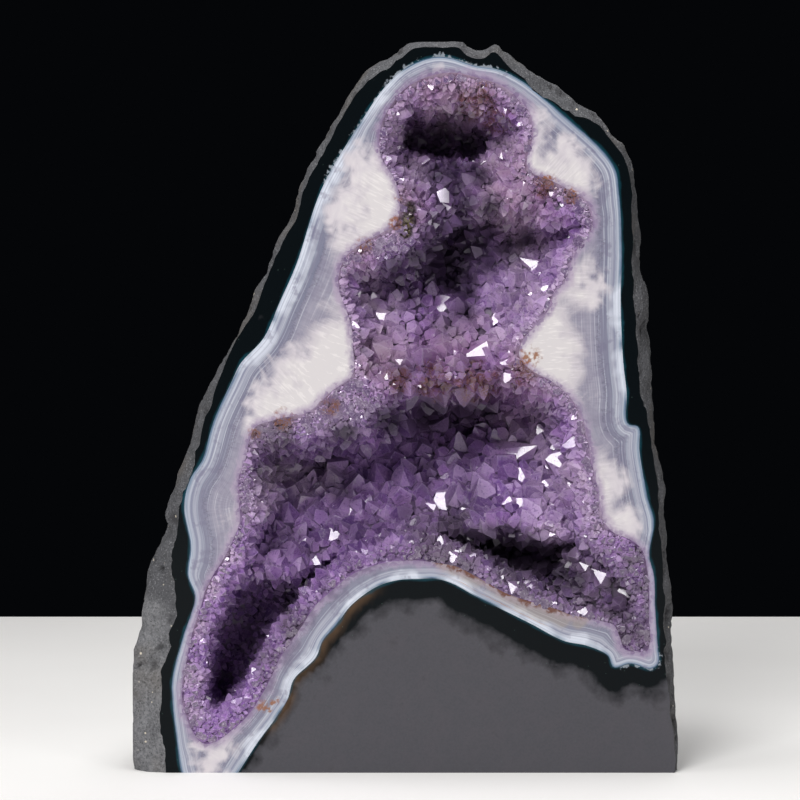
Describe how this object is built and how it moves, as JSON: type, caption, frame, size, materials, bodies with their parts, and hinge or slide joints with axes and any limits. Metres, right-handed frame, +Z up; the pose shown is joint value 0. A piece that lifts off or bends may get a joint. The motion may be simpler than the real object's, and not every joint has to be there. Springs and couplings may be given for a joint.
{
  "type": "amethyst cathedral geode",
  "caption": "Tall geode sawn flat in front and underneath: a basalt rind, a banded agate lining and an open, ledged hollow of purple quartz points.",
  "frame": {"origin": "middle of the flat base, halfway between the sawn face and the back and halfway between the sides", "axes": "+Z up; -Y out of the sawn face that shows the hollow; +X to the right seen from in front"},
  "size_m": [0.2253, 0.14, 0.3],
  "materials": {
    "basalt": "sawn and honed in front and underneath, rough behind",
    "agate": "polished",
    "amethyst": "natural crystal faces"
  },
  "bodies": {
    "root": {"basalt_stone": "basalt", "agate_lining": "agate", "amethyst_crust": "amethyst"}
  },
  "joints": []
}
